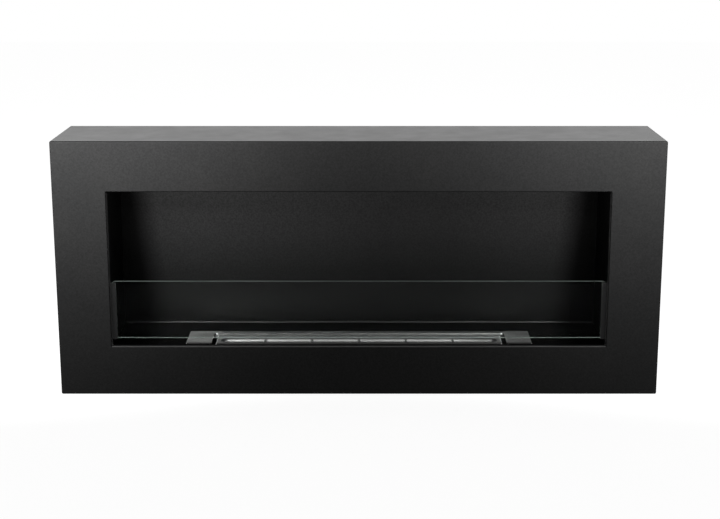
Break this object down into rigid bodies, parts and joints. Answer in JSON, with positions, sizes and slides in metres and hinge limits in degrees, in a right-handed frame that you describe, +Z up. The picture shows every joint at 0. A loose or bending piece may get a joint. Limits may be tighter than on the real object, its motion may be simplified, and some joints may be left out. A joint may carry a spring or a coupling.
{
  "type": "bioethanol fireplace",
  "caption": "Wall-hung bioethanol fireplace: black folded steel casing with a wide low opening, glass wind-guard and drop-in stainless burner with a long flame slot.",
  "frame": {"origin": "middle of the base", "axes": "+Z up, +Y towards the wall, +X to the right seen from the front"},
  "size_m": [0.9, 0.159, 0.386],
  "materials": {
    "case_paint": "satin black powder coat",
    "firebox_paint": "matt black heat-proof paint",
    "panel_steel": "zinc-coated sheet",
    "screw_steel": "zinc-plated steel",
    "pane_glass": "clear tempered glass",
    "burner_steel": "brushed stainless",
    "fibre": "matt ceramic fibre"
  },
  "bodies": {
    "fireplace": {"front_casing": "case_paint", "firebox_shell": "firebox_paint", "firebox_side_left": "firebox_paint", "firebox_side_right": "firebox_paint", "glass_channel_left": "firebox_paint", "glass_channel_right": "firebox_paint", "rear_panel": "panel_steel", "hanger_plate_left": "panel_steel", "hanger_plate_right": "panel_steel", "tank_strap_left": "panel_steel", "tank_strap_right": "panel_steel", "rear_screw_1": "screw_steel", "rear_screw_2": "screw_steel", "rear_screw_3": "screw_steel", "rear_screw_4": "screw_steel", "rear_screw_5": "screw_steel", "rear_screw_6": "screw_steel", "rear_screw_7": "screw_steel", "rear_screw_8": "screw_steel", "burner_surround": "burner_steel"},
    "glass": {"glass_pane": "pane_glass"},
    "burner": {"burner_cover": "burner_steel", "fuel_tank": "burner_steel", "ceramic_wick": "fibre", "slot_bridge_1": "burner_steel", "slot_bridge_2": "burner_steel", "slot_bridge_3": "burner_steel", "slot_bridge_4": "burner_steel", "slot_bridge_5": "burner_steel"}
  },
  "joints": [
    {"name": "glass_lift", "type": "slide", "parent": "fireplace", "child": "glass", "axis": [0, 0, 1], "range_m": [0, 0.139]},
    {"name": "burner_lift", "type": "slide", "parent": "fireplace", "child": "burner", "axis": [0, 0, 1], "range_m": [0, 0.237]}
  ]
}
